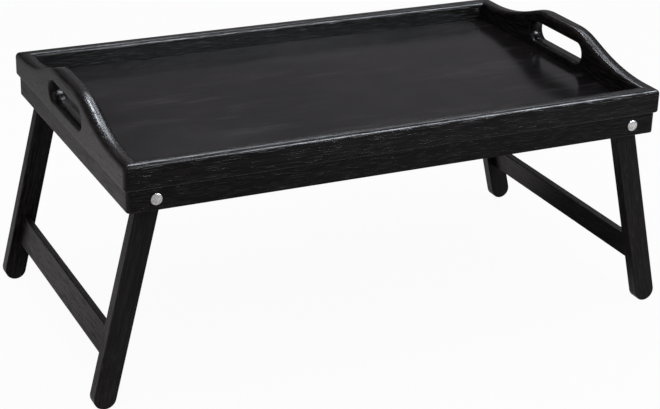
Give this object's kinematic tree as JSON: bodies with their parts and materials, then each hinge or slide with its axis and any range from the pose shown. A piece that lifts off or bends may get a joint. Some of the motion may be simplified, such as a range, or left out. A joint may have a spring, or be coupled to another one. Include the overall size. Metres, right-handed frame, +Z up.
{
  "type": "bed tray table",
  "caption": "Rectangular wooden bed tray with raised hand-hold ends on folding leg frames that swing flat under it.",
  "frame": {"origin": "on the floor under the middle of the tray, with the leg frames open against their stops", "axes": "+X along the tray to the right, +Y towards its back long side, +Z up"},
  "size_m": [0.551, 0.307, 0.2386],
  "materials": {
    "rail_wood": "black-brown stain under a thin satin lacquer",
    "handle_wood": "black-brown stain under a thin satin lacquer",
    "floor_board": "smooth black-brown lacquered board, semi-gloss",
    "apron_wood": "black-brown stain under a thin satin lacquer",
    "leg_wood": "black-brown stain under a thin satin lacquer",
    "stretcher_wood": "black-brown stain under a thin satin lacquer",
    "dowel_wood": "plain beech",
    "pin_steel": "bright drawn",
    "sleeve_nickel": "satin nickel plate",
    "washer_steel": "zinc plate",
    "spacer_plastic": "black nylon"
  },
  "bodies": {
    "tray": {"front_rail": "rail_wood", "back_rail": "rail_wood", "left_handle_panel": "handle_wood", "right_handle_panel": "handle_wood", "tray_floor": "floor_board", "rail_corner_dowels": "dowel_wood", "front_apron": "apron_wood", "back_apron": "apron_wood", "left_end_apron": "apron_wood", "right_end_apron": "apron_wood", "apron_corner_dowels": "dowel_wood", "front_apron_pins": "pin_steel", "back_apron_pins": "pin_steel", "left_end_apron_pins": "pin_steel", "right_end_apron_pins": "pin_steel", "left_front_pivot_sleeve": "sleeve_nickel", "left_front_pivot_spacer": "spacer_plastic", "left_front_pivot_washer": "washer_steel", "left_front_pivot_screw": "washer_steel", "left_back_pivot_sleeve": "sleeve_nickel", "left_back_pivot_spacer": "spacer_plastic", "left_back_pivot_washer": "washer_steel", "left_back_pivot_screw": "washer_steel", "right_front_pivot_sleeve": "sleeve_nickel", "right_front_pivot_spacer": "spacer_plastic", "right_front_pivot_washer": "washer_steel", "right_front_pivot_screw": "washer_steel", "right_back_pivot_sleeve": "sleeve_nickel", "right_back_pivot_spacer": "spacer_plastic", "right_back_pivot_washer": "washer_steel", "right_back_pivot_screw": "washer_steel"},
    "left_leg_frame": {"left_front_leg": "leg_wood", "left_back_leg": "leg_wood", "left_stretcher": "stretcher_wood", "left_stretcher_dowels": "dowel_wood"},
    "right_leg_frame": {"right_front_leg": "leg_wood", "right_back_leg": "leg_wood", "right_stretcher": "stretcher_wood", "right_stretcher_dowels": "dowel_wood"}
  },
  "joints": [
    {"name": "left_leg_fold", "type": "hinge", "parent": "tray", "child": "left_leg_frame", "pos_m": [-0.2232, 0, 0.18616], "axis": [0, -1, 0], "range_deg": [0, 103.5]},
    {"name": "right_leg_fold", "type": "hinge", "parent": "tray", "child": "right_leg_frame", "pos_m": [0.2232, 0, 0.18616], "axis": [0, 1, 0], "range_deg": [0, 103.5]}
  ]
}
